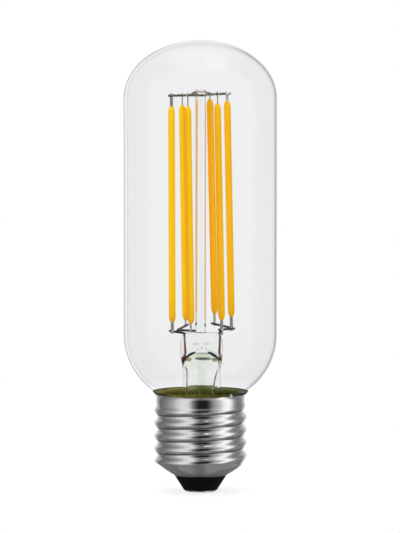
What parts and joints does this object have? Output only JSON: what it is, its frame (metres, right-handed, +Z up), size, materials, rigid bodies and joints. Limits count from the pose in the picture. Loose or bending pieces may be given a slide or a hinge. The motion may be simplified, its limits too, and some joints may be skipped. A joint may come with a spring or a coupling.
{
  "type": "tubular filament light bulb",
  "caption": "Clear tubular LED filament bulb: yellow filament strips on wire frames round a glass column, with a screw cap.",
  "frame": {"origin": "centre of the centre contact's flat bottom, the lowest point of the bulb", "axes": "+Z up the bulb's axis from the cap to the glass dome, +X to the viewer's right, -Y to the viewer"},
  "size_m": [0.0434, 0.0434, 0.1278],
  "materials": {
    "clear_glass": "clear blown glass",
    "phosphor_coat": "yellow phosphor silicone",
    "nickel_wire": "drawn nickel wire",
    "tab_metal": "stamped steel tab",
    "dumet_copper": "copper-clad seal wire",
    "tinned_lead": "tinned copper wire",
    "cap_nickel": "bright nickel plate",
    "contact_metal": "tinned plate",
    "solder": "bright solder",
    "cap_insulator_black": "black moulded insulator",
    "basing_cement": "olive basing cement",
    "board_laminate": "glass-filled laminate",
    "moulded_black": "moulded package",
    "capacitor_sleeve": "shrunk sleeve",
    "resistor_coat": "resistor enamel"
  },
  "bodies": {
    "root": {"basing_cement": "basing_cement", "bottom_v_wire_left": "nickel_wire", "bottom_v_wire_right": "nickel_wire", "bridge_rectifier": "moulded_black", "cap_insulator": "cap_insulator_black", "cap_shell": "cap_nickel", "centre_column": "clear_glass", "centre_contact": "contact_metal", "centre_solder": "solder", "driver_board": "board_laminate", "driver_chip": "moulded_black", "dumet_seal_left": "dumet_copper", "dumet_seal_right": "dumet_copper", "exhaust_tube": "clear_glass", "filament_bottom_tab_1": "tab_metal", "filament_bottom_tab_2": "tab_metal", "filament_bottom_tab_3": "tab_metal", "filament_bottom_tab_4": "tab_metal", "filament_bottom_tab_5": "tab_metal", "filament_bottom_tab_6": "tab_metal", "filament_top_tab_1": "tab_metal", "filament_top_tab_2": "tab_metal", "filament_top_tab_3": "tab_metal", "filament_top_tab_4": "tab_metal", "filament_top_tab_5": "tab_metal", "filament_top_tab_6": "tab_metal", "fusible_resistor": "resistor_coat", "glass_envelope": "clear_glass", "lead_wire_left": "nickel_wire", "lead_wire_right": "nickel_wire", "led_filament_1": "phosphor_coat", "led_filament_2": "phosphor_coat", "led_filament_3": "phosphor_coat", "led_filament_4": "phosphor_coat", "led_filament_5": "phosphor_coat", "led_filament_6": "phosphor_coat", "live_lead": "tinned_lead", "neutral_lead": "tinned_lead", "outer_lead_left": "tinned_lead", "outer_lead_right": "tinned_lead", "side_solder": "solder", "smoothing_capacitor": "capacitor_sleeve", "stem_tube": "clear_glass", "top_cross_bar_left": "nickel_wire", "top_cross_bar_right": "nickel_wire", "top_wire_back": "nickel_wire", "top_wire_front": "nickel_wire"}
  },
  "joints": []
}
